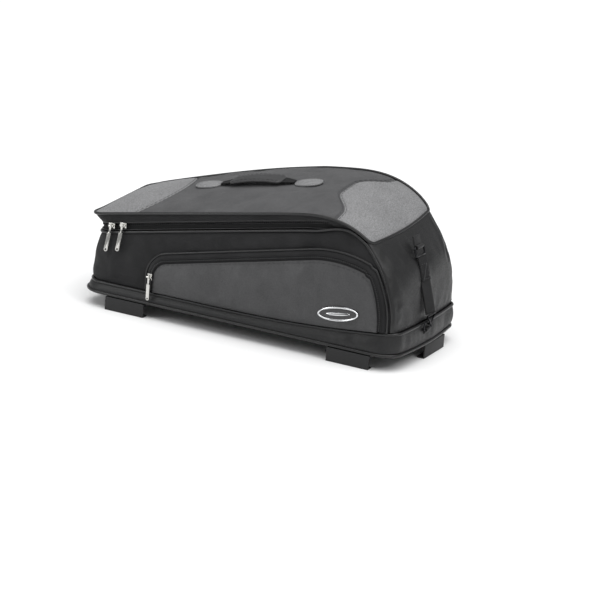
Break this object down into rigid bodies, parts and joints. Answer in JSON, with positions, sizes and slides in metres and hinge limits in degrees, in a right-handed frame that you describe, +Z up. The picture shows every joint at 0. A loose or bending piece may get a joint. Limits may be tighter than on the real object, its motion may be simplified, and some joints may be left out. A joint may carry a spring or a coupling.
{
  "type": "motorcycle saddlebag-lid bag",
  "caption": "Wedge-shaped soft bag on a skirted base: zipped lid that bends open along its front seam, carry handle, zipped side pocket with oval badge, end strap and lid hooks.",
  "frame": {"origin": "centre of the bounding box at the foot of the lid hooks", "axes": "+X towards the deep front end, +Y inboard, away from the pocket, +Z up off the base"},
  "size_m": [0.5255, 0.23, 0.2229],
  "materials": {
    "ballistic_nylon": "plain woven, matt",
    "black_vinyl": "grained, satin",
    "grey_vinyl": "grained, satin",
    "piping_vinyl": "satin",
    "zip_tape": "woven, matt",
    "zip_coil": "satin",
    "zinc_alloy": "nickel plated, bright",
    "chromed_badge": "chrome plated, mirror",
    "webbing": "woven, matt",
    "rubber_pad": "matt",
    "stiffener_board": "matt",
    "lining_cloth": "woven, matt",
    "mesh_cloth": "open mesh, matt"
  },
  "bodies": {
    "bag": {"base_pad": "rubber_pad", "base_board": "stiffener_board", "floor_liner": "lining_cloth", "base_skirt": "black_vinyl", "skirt_piping_lower": "piping_vinyl", "skirt_piping_upper": "piping_vinyl", "hook_outboard_rear": "rubber_pad", "hook_outboard_front": "rubber_pad", "hook_inboard_rear": "rubber_pad", "hook_inboard_front": "rubber_pad", "hook_front": "rubber_pad", "hook_rear": "rubber_pad", "outboard_panel": "ballistic_nylon", "inboard_panel": "ballistic_nylon", "front_end_panel": "black_vinyl", "rear_end_panel": "ballistic_nylon", "outboard_piping": "piping_vinyl", "inboard_piping": "piping_vinyl", "rear_piping": "piping_vinyl", "main_tape_lower": "zip_tape", "main_chain_lower": "zip_coil", "pocket_gusset": "ballistic_nylon", "pocket_zip": "zip_tape", "pocket_piping": "piping_vinyl", "pocket_panel": "black_vinyl", "badge_plate": "chromed_badge", "badge_rim": "chromed_badge", "strap_anchor": "webbing", "strap_base_ring": "zinc_alloy", "strap_base_tab": "webbing"},
    "lid": {"lid_rear_insert": "grey_vinyl", "lid_centre_panel": "ballistic_nylon", "lid_front_insert": "grey_vinyl", "lid_rim": "ballistic_nylon", "lid_piping": "piping_vinyl", "lid_lining": "lining_cloth", "lid_mesh_pocket": "mesh_cloth", "main_tape_upper": "zip_tape", "main_chain_upper": "zip_coil", "handle_cap_rear": "grey_vinyl", "handle_cap_front": "grey_vinyl"},
    "handle": {"handle_strap": "webbing", "handle_grip": "black_vinyl"},
    "main_slider_a": {"main_slider_a": "zinc_alloy"},
    "main_slider_b": {"main_slider_b": "zinc_alloy"},
    "pocket_slider": {"pocket_slider": "zinc_alloy"},
    "main_pull_a": {"main_pull_a": "zinc_alloy"},
    "main_pull_b": {"main_pull_b": "zinc_alloy"},
    "pocket_pull": {"pocket_pull": "zinc_alloy"},
    "strap": {"strap_ring": "zinc_alloy", "end_strap": "webbing", "strap_hook": "zinc_alloy"}
  },
  "joints": [
    {"name": "lid_hinge", "type": "hinge", "parent": "bag", "child": "lid", "pos_m": [0.2136, 0.001, 0.1746], "axis": [0, 1, 0], "range_deg": [0, 105]},
    {"name": "handle_swing", "type": "hinge", "parent": "lid", "child": "handle", "pos_m": [-0.02709, 0.00033, 0.19896], "axis": [0.9824, 0, 0.187], "range_deg": [-11, 11]},
    {"name": "main_slider_a_slide", "type": "slide", "parent": "bag", "child": "main_slider_a", "axis": [0.9815, 0, 0.1914], "range_m": [0, 0.285]},
    {"name": "main_slider_b_turn", "type": "hinge", "parent": "bag", "child": "main_slider_b", "pos_m": [-0.206, -0.0623, 0.12105], "axis": [0.1914, 0, -0.9815], "range_deg": [0, 72]},
    {"name": "pocket_slider_turn", "type": "hinge", "parent": "bag", "child": "pocket_slider", "pos_m": [-0.104, -0.1022, 0.0625], "axis": [0, 1, 0], "range_deg": [0, 72]},
    {"name": "main_pull_a_swing", "type": "hinge", "parent": "main_slider_a", "child": "main_pull_a", "pos_m": [-0.187, -0.1002, 0.12476], "axis": [-1, 0, 0], "range_deg": [0, 95]},
    {"name": "main_pull_b_swing", "type": "hinge", "parent": "main_slider_b", "child": "main_pull_b", "pos_m": [-0.206, -0.1002, 0.12105], "axis": [-1, 0, 0], "range_deg": [0, 95]},
    {"name": "pocket_pull_swing", "type": "hinge", "parent": "pocket_slider", "child": "pocket_pull", "pos_m": [-0.131, -0.1138, 0.0625], "axis": [-1, 0, 0], "range_deg": [0, 90]},
    {"name": "strap_swing", "type": "hinge", "parent": "bag", "child": "strap", "pos_m": [0.23307, -0.015, 0.157], "axis": [0, -1, 0], "range_deg": [0, 80]}
  ]
}
